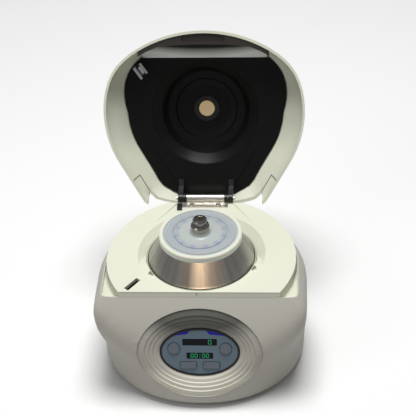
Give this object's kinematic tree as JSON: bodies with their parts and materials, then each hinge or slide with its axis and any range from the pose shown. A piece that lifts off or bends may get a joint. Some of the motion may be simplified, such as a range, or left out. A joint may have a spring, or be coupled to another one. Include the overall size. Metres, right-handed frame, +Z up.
{
  "type": "bench microcentrifuge",
  "caption": "Round bench microcentrifuge: domed lid open on a rear hinge, angled tube rotor under a screw-down cover, sloping front with an oval keypad and two displays.",
  "frame": {"origin": "on the bench plane, under the rotor's axis", "axes": "+Z up along the rotor's axis, -Y to the front panel, +X to the right of someone in front of it"},
  "size_m": [0.2478, 0.3356, 0.3424],
  "materials": {
    "cream_plastic": "smooth moulded cream plastic",
    "stone_plastic": "fine-textured grey-beige moulding",
    "black_plastic": "black moulding",
    "liner_plastic": "satin black vacuum-formed sheet",
    "brown_plastic": "dark brown moulding",
    "panel_plastic": "printed blue-grey film",
    "display_plastic": "smoked display window",
    "black_rubber": "matt rubber",
    "grey_rubber": "grey-green seal",
    "clear_rubber": "translucent seal",
    "brushed_steel": "brushed stainless steel",
    "chromed_steel": "bright chromed wire",
    "dark_chrome": "dark polished metal",
    "rotor_aluminium": "turned aluminium",
    "cover_plastic": "milky translucent plastic",
    "window_plastic": "amber translucent plastic",
    "motor_paint": "dark painted metal",
    "board_plastic": "green circuit board"
  },
  "bodies": {
    "base": {"base_pan": "stone_plastic", "feet": "black_rubber", "foot_screws": "brushed_steel", "housing": "stone_plastic", "top_deck": "cream_plastic", "oval_surround": "stone_plastic", "panel_rim": "black_plastic", "control_panel": "panel_plastic", "speed_display": "display_plastic", "time_display": "display_plastic", "display_board": "board_plastic", "chamber_bowl": "brushed_steel", "chamber_seal": "grey_rubber", "motor_body": "motor_paint", "motor_flange": "brushed_steel", "motor_mounts": "black_rubber", "shaft_bearing": "brushed_steel", "hinge_leaf": "brushed_steel", "leaf_screws": "brushed_steel", "hinge_stop": "black_plastic", "latch_case": "black_plastic", "latch_pin": "brushed_steel", "main_board": "board_plastic", "transformer": "motor_paint", "power_inlet": "black_plastic", "fuse_drawer": "black_plastic", "switch_frame": "black_plastic", "switch_pin": "brushed_steel"},
    "spindle": {"drive_shaft": "brushed_steel"},
    "rotor_unit": {"rotor": "rotor_aluminium", "rotor_stud": "brushed_steel"},
    "cover": {"rotor_cover": "cover_plastic", "cover_seal": "clear_rubber"},
    "knob": {"cover_knob": "dark_chrome"},
    "lid": {"lid_shell": "cream_plastic", "lid_liner": "liner_plastic", "liner_front_wall": "liner_plastic", "front_lip": "brown_plastic", "view_window": "window_plastic", "window_ring": "black_plastic", "striker": "chromed_steel", "hinge_pin": "brushed_steel", "hinge_spacers": "black_plastic", "left_hinge_arm": "black_plastic", "right_hinge_arm": "black_plastic"},
    "latch": {"latch_hook": "brushed_steel"},
    "left_round": {"left_round_button": "panel_plastic"},
    "right_round": {"right_round_button": "panel_plastic"},
    "lower_left": {"lower_left_button": "panel_plastic"},
    "lower_right": {"lower_right_button": "panel_plastic"},
    "rocker": {"power_switch": "black_plastic"}
  },
  "joints": [
    {"name": "shaft_spin", "type": "hinge", "parent": "base", "child": "spindle", "pos_m": [0, 0, 0.1], "axis": [0, 0, 1], "continuous": true},
    {"name": "rotor_lift", "type": "slide", "parent": "spindle", "child": "rotor_unit", "axis": [0, 0, 1], "range_m": [0, 0.03]},
    {"name": "cover_lift", "type": "slide", "parent": "rotor_unit", "child": "cover", "axis": [0, 0, 1], "range_m": [0, 0.03]},
    {"name": "knob_turn", "type": "hinge", "parent": "cover", "child": "knob", "pos_m": [0, 0, 0.18], "axis": [0, 0, 1], "continuous": true},
    {"name": "lid_hinge", "type": "hinge", "parent": "base", "child": "lid", "pos_m": [0, 0.104, 0.148], "axis": [-1, 0, 0], "range_deg": [-114, 0]},
    {"name": "latch_pivot", "type": "hinge", "parent": "base", "child": "latch", "pos_m": [-0.08242, -0.05006, 0.105], "axis": [0.5878, 0.809, 0], "range_deg": [0, 12], "stiffness_Nm_per_rad": 0.05},
    {"name": "left_round_press", "type": "slide", "parent": "base", "child": "left_round", "axis": [0, 0.9397, -0.342], "range_m": [0, 0.001], "stiffness_N_per_m": 600},
    {"name": "right_round_press", "type": "slide", "parent": "base", "child": "right_round", "axis": [0, 0.9397, -0.342], "range_m": [0, 0.001], "stiffness_N_per_m": 600},
    {"name": "lower_left_press", "type": "slide", "parent": "base", "child": "lower_left", "axis": [0, 0.9397, -0.342], "range_m": [0, 0.001], "stiffness_N_per_m": 600},
    {"name": "lower_right_press", "type": "slide", "parent": "base", "child": "lower_right", "axis": [0, 0.9397, -0.342], "range_m": [0, 0.001], "stiffness_N_per_m": 600},
    {"name": "switch_rock", "type": "hinge", "parent": "base", "child": "rocker", "pos_m": [0.018, 0.107, 0.04], "axis": [1, 0, 0], "range_deg": [-8, 0]}
  ]
}
